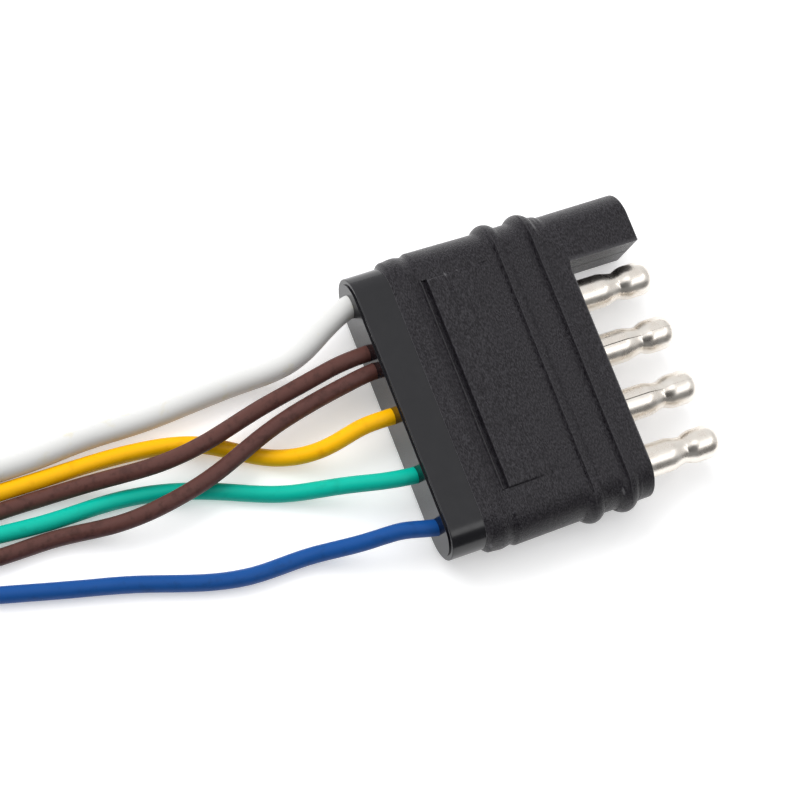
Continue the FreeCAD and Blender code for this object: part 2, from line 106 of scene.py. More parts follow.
# Overmould outside: half height of the flats and half width of the row, from rear to front
BODY_HALF_HEIGHT = RIB_HALF_HEIGHT - 0.3 * MM
BODY_HALF_WIDTH = RIB_HALF_WIDTH - 0.9 * MM
LIP_START_X = LIP_REAR_X + 0.25 * MM
NOTCH_X = LIP_REAR_X + 4.55 * MM
SWELL_END_X = LIP_REAR_X + 14.5 * MM
RIB_CENTRES_X = (-9.55 * MM, -4.2 * MM)
RIB_FEET_X = (RIB_CENTRES_X[0] - 0.4 * MM, RIB_CENTRES_X[1] - 0.05 * MM)
# Length and depth of the dip behind each rib
RIB_DIPS = ((0.7 * MM, 0.14 * MM), (1.3 * MM, 0.26 * MM))
DIP_CURVE = 1.5
BUMP_CURVE = 0.75
RIB_WALL = 0.16 * MM
RIB_CREST = 0.75 * MM
RIB_FALL = 0.9 * MM
RIB_SIDE_HALF_WIDTH = 1.5 * MM
FRONT_PLATE_X = -2.3 * MM
PLATE_HEIGHT_STEP = 0.5 * MM
PLATE_WIDTH_STEP = 0.3 * MM
PLATE_HALF_HEIGHT = BODY_HALF_HEIGHT - 0.05 * MM
PLATE_HALF_WIDTH = BODY_HALF_WIDTH - 0.1 * MM
REAR_EXTRA_WIDTH = 0.2 * MM
PLATE_EDGE_RADIUS = 0.3 * MM
PLATE_EDGE_STEPS = 5
PLATE_EDGE_FADE = 1.5 * MM
FLAT_STEPS = (3, 6, 54, 4)
ARC_STEPS = 40
HOLE_SIDES = 64
STATION_STEP = 0.1 * MM
WALL_GAP = 0.02 * MM

# Inner moulding's core, which the overmould wraps
CORE_REAR_X = -25.2 * MM
CORE_FRONT_X = -2.5 * MM
CORE_HALF_HEIGHT = COLLAR_HALF_HEIGHT - 0.65 * MM
CORE_HALF_WIDTH = COLLAR_HALF_WIDTH - 0.65 * MM

# Grip pad: a thin ridge and a groove behind it, then the plateau
PAD_RIDGE_X = NOTCH_X + 0.12 * MM
PAD_RIDGE_HEIGHT = 0.32 * MM
PAD_RIDGE_HALF_WIDTH = 0.16 * MM
PAD_GROOVE_DEPTH = 0.38 * MM
GROOVE_CURVE = 0.6
PAD_REAR_X = LIP_REAR_X + 5.45 * MM
PAD_FRONT_X = SWELL_END_X + 0.5 * MM
PAD_LOW_Y = -15.0 * MM
PAD_HIGH_Y = 16.8 * MM
PAD_REAR_HEIGHT = RIB_HALF_HEIGHT - 0.2 * MM
PAD_EDGE = 0.15 * MM
PAD_EDGE_ROWS = (2.0, 1.0, 0.67, 0.33, 0.0, -1.5)
PAD_EDGE_ROUND = 0.3 * MM
PAD_EDGE_DROP = 0.1 * MM
STRIATION_PITCH = 1.7 * MM
STRIATION_WIDTH = 0.35 * MM
STRIATION_DEPTH = 0.08 * MM
STRIATION_WAVES = (2.3 * MM, 5.1 * MM)
STRIATION_SHIFT = 2.1
STRIATION_FADE = 0.45

# Tower round the ground socket
TOWER_RADIUS = 4.5 * MM
TOWER_FLAT_Y = SOCKET_Y - 4.1 * MM
TOWER_START_X = -1.8 * MM
TOWER_DRAW_LENGTH = 0.8 * MM
TOWER_SIDE_BLEND = 0.8 * MM
TOWER_TOP_BLEND = 4.0 * MM
TOWER_TIP_RADIUS = 0.35 * MM
TOWER_STATIONS = 20
TOWER_CURVE_STEPS = 8
TOWER_BORE_RADIUS = 3.0 * MM
PARTING_WIDTH = 0.2 * MM
PARTING_DEPTH = 0.1 * MM
# Heights of the points on the flat side, as shares of its half height, close together at the parting line
FLAT_WALL_SHARES = (0.75, 0.5, 0.25, 0.08, 0.022, 0.011, 0.0, -0.011, -0.022, -0.08, -0.25, -0.5, -0.75)
MOUTH_CHAMFER = 0.3 * MM
PIN_HOLE_RADIUS = 2.53 * MM
PIN_HOLE_CHAMFER = 0.12 * MM

# Terminals, rolled from sheet with a seam along one side
TERMINAL_SIDES = 64
TERMINAL_STEP = 0.2 * MM
SHEET = 0.45 * MM
TUBE_REAR_X = -6.5 * MM
WIRE_BARREL_X = (-13.0 * MM, -9.0 * MM)
JACKET_BARREL_X = (-18.5 * MM, -15.0 * MM)
CRIMP_SEAM = 0.3 * MM
CRIMP_EDGE = 0.4 * MM
NECK_OPENING = 0.6
TUBE_SEAM = 0.12 * MM
CLOSED_SEAM = 0.02 * MM
SOCKET_SLIT = 0.5 * MM
SOCKET_TUBE_X = 0.5 * MM
PIN_TAPER_X = 4.4 * MM
PIN_WAIST_X = 7.1 * MM
PIN_WAIST_CUT = 0.5 * MM
PIN_BULB_X = (9.0 * MM, 10.6 * MM)
BULB_RISE_STEPS = 10
BULB_STEPS = 6
NOSE_STEPS = 14
PIN_NOSE_RADIUS = 1.45 * MM
SEAM_ANGLES = {
    "yellow_pin": 86.0,
    "green_pin": 80.0,
    "brown_pin": 200.0,
    "blue_pin": 250.0,
    "ground_socket": 90.0,
}

# Leads
JACKET_SIDES = 36
STRAND_SIDES = 10
STRANDS_ROUND_CORE = 6
LEAD_STEP = 0.5 * MM
SLICE_STEP = 2.0 * MM
SLICE_MARGIN = 0.6 * MM
STRAND_LAY = 16.0 * MM
STRAND_GAP = 0.04 * MM
STRANDS_ACROSS = 3
STRAND_UNEVENNESS = 0.3 * MM
STRAND_END_SHIFT = 4.0
JACKET_WAVE = 0.006
JACKET_WAVE_LENGTHS = (3.1 * MM, 1.3 * MM)
CUT_BEVEL = 0.08 * MM

# Two places closer than this are the same
SAME_PLACE = 1e-7


# Profiles

def smooth_step(share):
    """Soft rise from 0 to 1, level at both ends."""
    share = min(max(share, 0.0), 1.0)
    return share * share * (3 - 2 * share)


def along(keys, x):
    """Value at x of a soft curve through (x, value) keys, level at each key."""
    if x <= keys[0][0]:
        return keys[0][1]
    for (x0, v0), (x1, v1) in zip(keys, keys[1:]):
        if x <= x1:
            return v0 + (v1 - v0) * smooth_step((x - x0) / (x1 - x0))
    return keys[-1][1]


def bump(x, centre, half_width):
    """Round-topped hill, 1 at its centre and 0 beyond its half width."""
    share = (x - centre) / half_width
    return max(0.0, 1 - share * share) ** BUMP_CURVE


LIP_HEIGHT_KEYS = (
    (LIP_START_X, COLLAR_HALF_HEIGHT + 0.05 * MM),
    (LIP_START_X + 0.35 * MM, COLLAR_HALF_HEIGHT + 0.16 * MM),
    (LIP_START_X + 2.3 * MM, COLLAR_HALF_HEIGHT + 0.48 * MM),
    (NOTCH_X, COLLAR_HALF_HEIGHT),
    (NOTCH_X + 0.6 * MM, COLLAR_HALF_HEIGHT + 0.15 * MM),
)
LIP_WIDTH_KEYS = (
    (LIP_START_X, COLLAR_HALF_WIDTH + 0.05 * MM),
    (LIP_START_X + 0.8 * MM, COLLAR_HALF_WIDTH + 0.7 * MM),
    (LIP_START_X + 2.6 * MM, COLLAR_HALF_WIDTH + 0.84 * MM),
    (NOTCH_X - 0.25 * MM, COLLAR_HALF_WIDTH + 0.62 * MM),
    (NOTCH_X + 0.55 * MM, BODY_HALF_WIDTH + REAR_EXTRA_WIDTH),
)


def rib_height(x):
    """Ribs on the flats: a dip, a steep wall behind, a crest, and a soft fall in front."""
    total = 0.0
    full = RIB_HALF_HEIGHT - BODY_HALF_HEIGHT
    for foot, (dip_length, dip_depth) in zip(RIB_FEET_X, RIB_DIPS):
        if x < foot:
            total -= dip_depth * max(1 + (x - foot) / dip_length, 0.0) ** DIP_CURVE
            continue
        wall = smooth_step((x - foot) / RIB_WALL)
        fall = smooth_step((x - foot - RIB_WALL - RIB_CREST) / RIB_FALL)
        total += -dip_depth * (1 - wall) + full * wall * (1 - fall)
    return total


def half_height(x):
    """Half height of the overmould's flats."""
    foot_x, foot = LIP_HEIGHT_KEYS[-1]
    if x < foot_x:
        return along(LIP_HEIGHT_KEYS, x)
    swell = min((x - foot_x) / (SWELL_END_X - foot_x), 1.0)
    body = foot + (BODY_HALF_HEIGHT - foot) * swell
    plate = (PLATE_HALF_HEIGHT - BODY_HALF_HEIGHT) * smooth_step((x - FRONT_PLATE_X) / PLATE_HEIGHT_STEP)
    return body + rib_height(x) + plate


def half_width(x):
    """Half width of the overmould along the row."""
    foot_x = LIP_WIDTH_KEYS[-1][0]
    if x < foot_x:
        return along(LIP_WIDTH_KEYS, x)
    taper = REAR_EXTRA_WIDTH * max((SWELL_END_X - x) / (SWELL_END_X - foot_x), 0.0)
    ribs = sum(bump(x, centre, RIB_SIDE_HALF_WIDTH) for centre in RIB_CENTRES_X)
    plate = (PLATE_HALF_WIDTH - BODY_HALF_WIDTH) * smooth_step((x - FRONT_PLATE_X) / PLATE_WIDTH_STEP)
    return BODY_HALF_WIDTH + taper + ribs * (RIB_HALF_WIDTH - BODY_HALF_WIDTH) + plate


def tower_draw(x):
    """How far the +Y end is drawn in, to meet the tower's outside."""
    full = PLATE_HALF_WIDTH - SOCKET_Y - TOWER_RADIUS
    return full * smooth_step((x - TOWER_START_X) / TOWER_DRAW_LENGTH)


def pad_rise(x, y):
    """How far the grip pad stands above the overmould's flat at a place on it."""
    beside = max(y - PAD_HIGH_Y, PAD_LOW_Y - y)
    if beside > PAD_EDGE or x < PAD_RIDGE_X - PAD_EDGE or x > PAD_FRONT_X:
        return 0.0
    inside = 1 - smooth_step(beside / PAD_EDGE)
    if x < PAD_REAR_X:
        ridge = bump(x, PAD_RIDGE_X, PAD_RIDGE_HALF_WIDTH) * PAD_RIDGE_HEIGHT
        groove = max(x - PAD_RIDGE_X, 0.0) / (PAD_REAR_X - PAD_RIDGE_X)
        return inside * (ridge - PAD_GROOVE_DEPTH * groove ** GROOVE_CURVE)
    share = (x - PAD_REAR_X) / (PAD_FRONT_X - PAD_REAR_X)
    plateau = PAD_REAR_HEIGHT + (BODY_HALF_HEIGHT - PAD_REAR_HEIGHT) * share
    from_edge = min(x - PAD_REAR_X, max(-beside, 0.0))
    rounding = PAD_EDGE_DROP * (1 - smooth_step(from_edge / PAD_EDGE_ROUND))
    return inside * (plateau - rounding - half_height(x) - striation(x, y))


def striation(x, y):
    """Depth of the faint lines across the pad. They fade out and in along the row."""
    phase = (x - PAD_REAR_X) / STRIATION_PITCH
    nearest = round(phase)
    if nearest < 1 or x > PAD_FRONT_X - STRIATION_PITCH:
        return 0.0
    short_wave, long_wave = STRIATION_WAVES
    wave = math.sin(y / short_wave + STRIATION_SHIFT * nearest) * math.sin(y / long_wave + nearest)
    fade = 1 - STRIATION_FADE * (1 - wave)
    return STRIATION_DEPTH * fade * bump(phase, nearest, STRIATION_WIDTH / STRIATION_PITCH / 2)


# Mesh building

class Shell:
    """Vertices and faces of a mesh while it is built from closed rings of points."""

    def __init__(self):
        self.points = []
        self.faces = []

    def ring(self, points):
        """Adds points and gives back their numbers, in order."""
        start = len(self.points)
        self.points.extend(tuple(point) for point in points)
        return list(range(start, len(self.points)))

    def strip(self, first, second, closed=True):
        """Quads between two rings of the same number of points."""
        count = len(first)
        for i in range(count if closed else count - 1):
            j = (i + 1) % count
            self.faces.append((first[i], first[j], second[j], second[i]))

    def cap(self, *loops):
        """Flat face inside the first loop, with the other loops as its holes."""
        order = [index for loop in loops for index in loop]
        polygons = [[Vector(self.points[index]) for index in loop] for loop in loops]
        for triangle in tessellate_polygon(polygons):
            self.faces.append(tuple(order[corner] for corner in triangle))

    def piece(self, name, material, sharp_degrees=38.0):
        """The finished object, with its faces turned outwards and its sharp edges marked."""
        mesh = bpy.data.meshes.new(name)
        mesh.from_pydata(self.points, [], self.faces)
        tidy = bmesh.new()
        tidy.from_mesh(mesh)
        bmesh.ops.recalc_face_normals(tidy, faces=tidy.faces)
        tidy.to_mesh(mesh)
        tidy.free()
        mesh.shade_smooth()
        mesh.set_sharp_from_angle(angle=math.radians(sharp_degrees))
        mesh.materials.append(material)
        made = bpy.data.objects.new(name, mesh)
        bpy.context.scene.collection.objects.link(made)
        return made


def circle(x, y, radius, count):
    """Ring round an axis along X."""
    angles = [2 * math.pi * i / count for i in range(count)]
    return [(x, y + radius * math.cos(a), radius * math.sin(a)) for a in angles]


# Overmould

def spread(start, end, count):
    """Evenly spaced places from the start on, without the end."""
    return [start + (end - start) * i / count for i in range(count)]


def flat_rows(tower_end, far_end):
    """Places along a flat, from the tower's side to the other end, close together at the pad's edges."""
    edges = [share * PAD_EDGE for share in PAD_EDGE_ROWS]
    high_rows = [PAD_HIGH_Y + edge for edge in edges]
    low_rows = [PAD_LOW_Y - edge for edge in reversed(edges)]
    before_pad, to_tower_flat, over_pad, after_pad = FLAT_STEPS
    rows = spread(tower_end, high_rows[0], before_pad) + high_rows[:-1]
    rows += spread(high_rows[-1], TOWER_FLAT_Y, to_tower_flat)
    rows += spread(TOWER_FLAT_Y, low_rows[0], over_pad)
    rows += low_rows
    return rows + spread(low_rows[-1], far_end, after_pad)[1:] + [far_end]


def section(x, height, width, inset=0.0, rise=None):
    """Closed outline across the row: two flats and two half-round ends.
    rise(y) lifts the flats, and inset draws the whole outline in."""
    far_centre = width - height
    tower_centre = far_centre - tower_draw(x)
    rows = flat_rows(tower_centre, -far_centre)
    lift = rise or (lambda y: 0.0)
    flat_height = height - inset
    points = [(x, y, flat_height + lift(y)) for y in rows]
    for i in range(1, ARC_STEPS):
        angle = math.pi / 2 + math.pi * i / ARC_STEPS
        points.append((x, -far_centre + flat_height * math.cos(angle), flat_height * math.sin(angle)))
    points += [(x, y, -flat_height - lift(y)) for y in reversed(rows)]
    for i in range(1, ARC_STEPS):
        angle = -math.pi / 2 + math.pi * i / ARC_STEPS
        points.append((x, tower_centre + flat_height * math.cos(angle), flat_height * math.sin(angle)))
    return points


def plate_edge(height, width, share):
    """Outline on the front edge's rounding. The rounding fades out towards the tower."""
    turn = share * math.pi / 2
    x = -PLATE_EDGE_RADIUS * (1 - math.sin(turn))
    full_inset = PLATE_EDGE_RADIUS * (1 - math.cos(turn))
    outline = []
    plain = section(x, height, width)
    drawn_in = section(x, height, width, inset=full_inset)
    for outer, inner in zip(plain, drawn_in):
        fade = smooth_step((TOWER_FLAT_Y - outer[1]) / PLATE_EDGE_FADE)
        outline.append(tuple(o + (i - o) * fade for o, i in zip(outer, inner)))
    return outline


def tower_columns(plate_ring, shell):
    """Points of the mating face's ring that the tower grows from, in order round the socket."""
    def turn(index):
        _, y, z = shell.points[index]
        return math.atan2(z, y - SOCKET_Y)

    on_tower = [index for index in plate_ring if shell.points[index][1] > TOWER_FLAT_Y - SAME_PLACE]
    return sorted(on_tower, key=turn)


def tower_place(point, inset):
    """Where a point of the plate's outline lies on the tower's outline."""
    _, y, z = point
    radius = TOWER_RADIUS - inset
    plate_centre = SOCKET_Y + TOWER_RADIUS - PLATE_HALF_HEIGHT
    if y > plate_centre:
        angle = math.atan2(z, y - plate_centre)
        return SOCKET_Y + radius * math.cos(angle), radius * math.sin(angle)
    share = (y - TOWER_FLAT_Y) / (plate_centre - TOWER_FLAT_Y)
    flat_y = TOWER_FLAT_Y + inset
    return flat_y + (SOCKET_Y - flat_y) * share, math.copysign(radius, z)


def parting_inset(z):
    """Depth of the mould's parting line in the tower's flat side."""
    return PARTING_DEPTH * bump(z, 0.0, PARTING_WIDTH / 2)


def flat_wall(x, inset, size):
    """Points down the tower's flat side, between its two sharp edges, with the mould's parting line."""
    heights = [share * size for share in FLAT_WALL_SHARES]
    return [(x, TOWER_FLAT_Y + inset + parting_inset(z), z) for z in heights]


def tower_rings(shell, base):
    """Tower walls from the mating face to the rounded tip. Returns the tip's ring and the flat's foot."""
    base_points = [shell.points[index] for index in base]
    foot = shell.ring(flat_wall(0.0, 0.0, PLATE_HALF_HEIGHT))
    last = base + foot
    steps = TOWER_CURVE_STEPS
    round_start = TOWER_TIP_X - TOWER_TIP_RADIUS
    stations = [(TOWER_SIDE_BLEND * i / steps, 0.0) for i in range(1, steps)]
    stations += [(x, 0.0) for x in spread(TOWER_SIDE_BLEND, round_start, TOWER_STATIONS)]
    for i in range(steps + 1):
        turn = math.pi / 2 * i / steps
        inset = TOWER_TIP_RADIUS * (1 - math.cos(turn))
        stations.append((TOWER_TIP_X - TOWER_TIP_RADIUS * (1 - math.sin(turn)), inset))
    for x, inset in stations:
        outline = []
        for point in base_points:
            y, z = tower_place(point, inset)
            upright = abs(z) / TOWER_RADIUS
            blend = TOWER_SIDE_BLEND + (TOWER_TOP_BLEND - TOWER_SIDE_BLEND) * upright ** 2
            ease = smooth_step(x / blend)
            outline.append((x, point[1] + (y - point[1]) * ease, point[2] + (z - point[2]) * ease))
        size = outline[-1][2]
        ring = shell.ring(outline + flat_wall(x, inset, size))
        shell.strip(last, ring)
        last = ring
    return last, foot


def overmould(material):
    """Hollow rubber shell: the inner moulding's space inside it, and a hole for each terminal."""
    shell = Shell()
    gap_height = COLLAR_HALF_HEIGHT + WALL_GAP
    gap_width = COLLAR_HALF_WIDTH + WALL_GAP
    opening = shell.ring(section(LIP_START_X, gap_height, gap_width))
    last = opening
    count = round((-PLATE_EDGE_RADIUS - LIP_START_X) / STATION_STEP)
    for i in range(count + 1):
        x = LIP_START_X + (-PLATE_EDGE_RADIUS - LIP_START_X) * i / count
        ring = shell.ring(section(x, half_height(x), half_width(x), rise=lambda y: pad_rise(x, y)))
        shell.strip(last, ring)
        last = ring
    for i in range(1, PLATE_EDGE_STEPS + 1):
        ring = shell.ring(plate_edge(PLATE_HALF_HEIGHT, PLATE_HALF_WIDTH, i / PLATE_EDGE_STEPS))
        shell.strip(last, ring)
        last = ring
    base = tower_columns(last, shell)
    tip, foot = tower_rings(shell, base)
    inner_base = set(base[1:-1])
    face_loop = [index for index in last if index not in inner_base]
    start = face_loop.index(base[0])
    face_loop = face_loop[start:] + face_loop[:start]
    if face_loop[1] == base[-1]:
        face_loop = [face_loop[0]] + face_loop[:0:-1]
    face_loop += foot

    inner_wall_x = CORE_FRONT_X + WALL_GAP
    hole_rims = []
    hole_feet = []
    for node in PIN_NODES:
        low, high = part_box(node)
        y = (low.y + high.y) / 2
        rim = shell.ring(circle(0.0, y, PIN_HOLE_RADIUS + PIN_HOLE_CHAMFER, HOLE_SIDES))
        neck = shell.ring(circle(-PIN_HOLE_CHAMFER, y, PIN_HOLE_RADIUS, HOLE_SIDES))
        hole_foot = shell.ring(circle(inner_wall_x, y, PIN_HOLE_RADIUS, HOLE_SIDES))
        shell.strip(rim, neck)
        shell.strip(neck, hole_foot)
        hole_rims.append(rim)
        hole_feet.append(hole_foot)
    shell.cap(face_loop, *hole_rims)
    rim = shell.ring(circle(TOWER_TIP_X, SOCKET_Y, TOWER_BORE_RADIUS + MOUTH_CHAMFER, HOLE_SIDES))
    neck = shell.ring(circle(TOWER_TIP_X - MOUTH_CHAMFER, SOCKET_Y, TOWER_BORE_RADIUS, HOLE_SIDES))
    bore_foot = shell.ring(circle(inner_wall_x, SOCKET_Y, TOWER_BORE_RADIUS, HOLE_SIDES))
    shell.cap(tip, rim)
    shell.strip(rim, neck)
    shell.strip(neck, bore_foot)

    core = (CORE_HALF_HEIGHT + WALL_GAP, CORE_HALF_WIDTH + WALL_GAP)
    inner_front = shell.ring(section(inner_wall_x, *core))
    inner_rear = shell.ring(section(CORE_REAR_X + WALL_GAP, *core))
    step = shell.ring(section(CORE_REAR_X + WALL_GAP, gap_height, gap_width))
    shell.cap(inner_front, bore_foot, *hole_feet)
    shell.strip(inner_front, inner_rear)
    shell.strip(inner_rear, step)
    shell.strip(step, opening)
    return shell.piece("overmould_shell", material)


# Terminals

def rolled_ring(shell, x, y, radius, inner_x, inner_radius, opening, seam_angle):
    """C-shaped section of the rolled sheet, open at its seam."""
    half = opening / 2 / radius
    turn = 2 * math.pi - 2 * half
    angles = [seam_angle + half + turn * i / TERMINAL_SIDES for i in range(TERMINAL_SIDES + 1)]
    outside = [(x, y + radius * math.cos(a), radius * math.sin(a)) for a in angles]
    inside = [
        (inner_x, y + inner_radius * math.cos(a), inner_radius * math.sin(a))
        for a in reversed(angles)
    ]
    return shell.ring(outside + inside)


def crimp_keys(node, tube_radius, seam):
    """(x, radius, opening) keys of a terminal's rear: jacket barrel, neck, wire barrel, neck, tube."""
    (jacket_rear, jacket_front), (wire_rear, wire_front) = JACKET_BARREL_X, WIRE_BARREL_X
    middles = ((jacket_rear + jacket_front) / 2, (wire_rear + wire_front) / 2)
    jacket_radius, wire_radius = [size[2] for size in slice_half_sizes(node, middles)]
    neck = NECK_OPENING * 2 * math.pi
    return [
        (jacket_rear, jacket_radius, CRIMP_SEAM),
        (jacket_front, jacket_radius, CRIMP_SEAM),
        (jacket_front + CRIMP_EDGE, jacket_radius, neck * jacket_radius),
        (wire_rear - CRIMP_EDGE, wire_radius, neck * wire_radius),
        (wire_rear, wire_radius, CRIMP_SEAM),
        (wire_front, wire_radius, CRIMP_SEAM),
        (wire_front + CRIMP_EDGE, wire_radius, neck * wire_radius),
        (TUBE_REAR_X - CRIMP_EDGE, tube_radius, neck * tube_radius),
        (TUBE_REAR_X, tube_radius, seam),
    ]


def sample_keys(keys, step):
    """Outline points (x, radius, opening) from soft curves through the keys."""
    radii = [(x, radius) for x, radius, _ in keys]
    openings = [(x, opening) for x, _, opening in keys]
    count = math.ceil((keys[-1][0] - keys[0][0]) / step)
    places = spread(keys[0][0], keys[-1][0], count) + [keys[-1][0]]
    return [(x, along(radii, x), along(openings, x)) for x in places]


def bulb_rise(waist_radius, bulb_radius):
    """Steep rise from the pin's waist to its bulb."""
    points = []
    for i in range(1, BULB_RISE_STEPS + 1):
        share = i / BULB_RISE_STEPS
        x = PIN_WAIST_X + (PIN_BULB_X[0] - PIN_WAIST_X) * share
        radius = waist_radius + (bulb_radius - waist_radius) * math.sin(math.pi / 2 * share)
        points.append((x, radius, CLOSED_SEAM))
    level = spread(*PIN_BULB_X, BULB_STEPS)[1:] + [PIN_BULB_X[1]]
    return points + [(x, bulb_radius, CLOSED_SEAM) for x in level]


def nose(radius, tip_x):
    """Blunt nose with a round corner, from the bulb to the flat end round the pin's hole."""
    start_x = PIN_BULB_X[1]
    points = []
    for i in range(1, NOSE_STEPS + 1):
        turn = math.pi / 2 * i / NOSE_STEPS
        x = start_x + (tip_x - start_x) * math.sin(turn)
        points.append((x, PIN_NOSE_RADIUS + (radius - PIN_NOSE_RADIUS) * math.cos(turn), CLOSED_SEAM))
    return points


def inner_outline(outline):
    """The outline's inner side, one sheet's thickness in from it."""
    inner = []
    for i, (x, radius, _) in enumerate(outline):
        before, after = outline[max(i - 1, 0)], outline[min(i + 1, len(outline) - 1)]
        run, rise = after[0] - before[0], after[1] - before[1]
        length = math.hypot(run, rise)
        inner.append((x + SHEET * rise / length, radius - SHEET * run / length))
    return inner


def rolled_terminal(node, outline, material):
    """Terminal rolled from sheet round its cavity's axis, which stands for the frame's node."""
    low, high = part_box(node)
    y = (low.y + high.y) / 2
    seam_angle = math.radians(SEAM_ANGLES[node])
    shell = Shell()
    rings = []
    for (x, radius, opening), (inner_x, inner_radius) in zip(outline, inner_outline(outline)):
        rings.append(rolled_ring(shell, x, y, radius, inner_x, inner_radius, opening, seam_angle))
    for first, second in zip(rings, rings[1:]):
        shell.strip(first, second)
    for ring in (rings[0], rings[-1]):
        inner_side = ring[:TERMINAL_SIDES:-1]
        shell.strip(ring[: TERMINAL_SIDES + 1], inner_side, closed=False)
    piece = shell.piece(node + "_rolled", material, sharp_degrees=50.0)
    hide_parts(node)
    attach(piece, "connector")


def bullet_pin(node, material):
    """Hollow bullet: crimp barrels, a tube, a waist, a bulb and a blunt nose."""
    _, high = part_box(node)
    bulb_radius = slice_half_sizes(node, [sum(PIN_BULB_X) / 2])[0][2]
    tube_radius = slice_half_sizes(node, [PIN_TAPER_X / 2])[0][2]
    keys = crimp_keys(node, tube_radius, TUBE_SEAM) + [
        (PIN_TAPER_X, tube_radius, TUBE_SEAM),
        (PIN_WAIST_X, tube_radius - PIN_WAIST_CUT, TUBE_SEAM / 2),
    ]
    outline = sample_keys(keys, TERMINAL_STEP)
    outline += bulb_rise(tube_radius - PIN_WAIST_CUT, bulb_radius) + nose(bulb_radius, high.x)
    rolled_terminal(node, outline, material)


def ground_socket(material):
    """Slit tube that takes the other half's pin, with the same crimp barrels."""
    node = "ground_socket"
    tube_radius = slice_half_sizes(node, [SOCKET_TUBE_X])[0][1]
    keys = crimp_keys(node, tube_radius, SOCKET_SLIT) + [(SOCKET_HIGH.x, tube_radius, SOCKET_SLIT)]
    rolled_terminal(node, sample_keys(keys, TERMINAL_STEP), material)


# Leads

def cross_section_boxes(node, stations):
    """Lowest and highest corner of a node's mesh in planes across the row, at places along X."""
    mesh = frame["nodes"][node].data
    points = np.empty(3 * len(mesh.vertices))
    mesh.vertices.foreach_get("co", points)
    points = points.reshape(-1, 3)
    edges = np.empty(2 * len(mesh.edges), int)
    mesh.edges.foreach_get("vertices", edges)
    start, end = points[edges[0::2]], points[edges[1::2]]
    found = []
    for x in stations:
        cut = (start[:, 0] - x) * (end[:, 0] - x) < 0
        share = (x - start[cut, :1]) / (end[cut, :1] - start[cut, :1])
        crossing = start[cut] + share * (end[cut] - start[cut])
        found.append((crossing.min(0), crossing.max(0)))
    return found


def slice_half_sizes(node, stations):
    """Half sizes of a node's cross-sections at places along X."""
    return [(high - low) / 2 for low, high in cross_section_boxes(node, stations)]


def route(fixed_node, free_node):
    """Table of a lead's centre-line, read off the fixed and the free CAD node of one sort."""
    centres = []
    for node in (fixed_node, free_node):
        low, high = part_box(node)
        count = round((high.x - low.x - 2 * SLICE_MARGIN) / SLICE_STEP)
        stations = spread(high.x - SLICE_MARGIN, low.x + SLICE_MARGIN, count)
        if node == free_node:
            stations = stations[1:] + [low.x + SLICE_MARGIN]
        centres += [(low + high) / 2 for low, high in cross_section_boxes(node, stations)]
    return np.array(centres)


def on_route(table, x):
    """Point and direction of a centre-line at x, from a cubic through the table's points."""
    places = -table[:, 0]
    slopes = np.gradient(table, places, axis=0)
    i = int(np.clip(np.searchsorted(places, -x) - 1, 0, len(places) - 2))
    width = places[i + 1] - places[i]
    t = (-x - places[i]) / width
    if not 0 <= t <= 1:
        nearest = i if t < 0 else i + 1
        point = table[nearest] + slopes[nearest] * (-x - places[nearest])
        return point, slopes[nearest]
    p0, p1, m0, m1 = table[i], table[i + 1], slopes[i] * width, slopes[i + 1] * width
    point = (2 * t**3 - 3 * t**2 + 1) * p0 + (t**3 - 2 * t**2 + t) * m0
    point = point + (3 * t**2 - 2 * t**3) * p1 + (t**3 - t**2) * m1
    slope = (6 * t**2 - 6 * t) * (p0 - p1) + (3 * t**2 - 4 * t + 1) * m0 + (3 * t**2 - 2 * t) * m1
    return point, slope / width


def ring_on_route(table, x, radius, sides, offset=(0.0, 0.0)):
    """Round ring across a centre-line. The offset is sideways and upwards from it."""
    point, slope = on_route(table, x)
    direction = Vector(slope).normalized()
    side = direction.cross(Vector((0, 0, 1))).normalized()
    above = side.cross(direction)
    centre = Vector(point) + side * offset[0] + above * offset[1]
    ring = []
    for i in range(sides):
        angle = 2 * math.pi * i / sides
        ring.append(centre + (side * math.cos(angle) + above * math.sin(angle)) * radius)
    return ring


def jacket_radii(name):
    """Outer and bore radius of a lead's insulation, from its cut end in the frame."""
    low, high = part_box(name + "_jacket_fixed")
    strand_low, strand_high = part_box(name + "_strands_fixed")
    return (high.z - low.z) / 2, (strand_high.z - strand_low.z) / 2


def jacket(name, material):
    """Insulation of one lead as one tube, from its crimp to its cut end."""
    shell = Shell()
    table = route(name + "_jacket_fixed", name + "_jacket_free")
    outer, bundle = jacket_radii(name)
    bore = bundle + STRAND_GAP
    front_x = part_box(name + "_jacket_fixed")[1].x
    rear_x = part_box(name + "_jacket_free")[0].x
    count = round((front_x - rear_x) / LEAD_STEP)
    stations = spread(front_x, rear_x, count) + [rear_x]
    phase = LEAD_NAMES.index(name)
    long_wave, short_wave = JACKET_WAVE_LENGTHS
    rings = [shell.ring(ring_on_route(table, x, bore, JACKET_SIDES)) for x in reversed(stations)]
    rings.append(shell.ring(ring_on_route(table, front_x, outer - CUT_BEVEL, JACKET_SIDES)))
    for x in stations[:-1]:
        wave = 1 + JACKET_WAVE * math.sin(x / long_wave + phase)
        wave += JACKET_WAVE * math.sin(x / short_wave + 2 * phase)
        rings.append(shell.ring(ring_on_route(table, x - CUT_BEVEL, outer * min(wave, 1.0), JACKET_SIDES)))
    rings.append(shell.ring(ring_on_route(table, rear_x, outer - CUT_BEVEL, JACKET_SIDES)))
    for first, second in zip(rings, rings[1:] + rings[:1]):
        shell.strip(first, second)
    piece = shell.piece(name + "_insulation", material)
    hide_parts(name + "_jacket_fixed", name + "_jacket_free")
    return piece


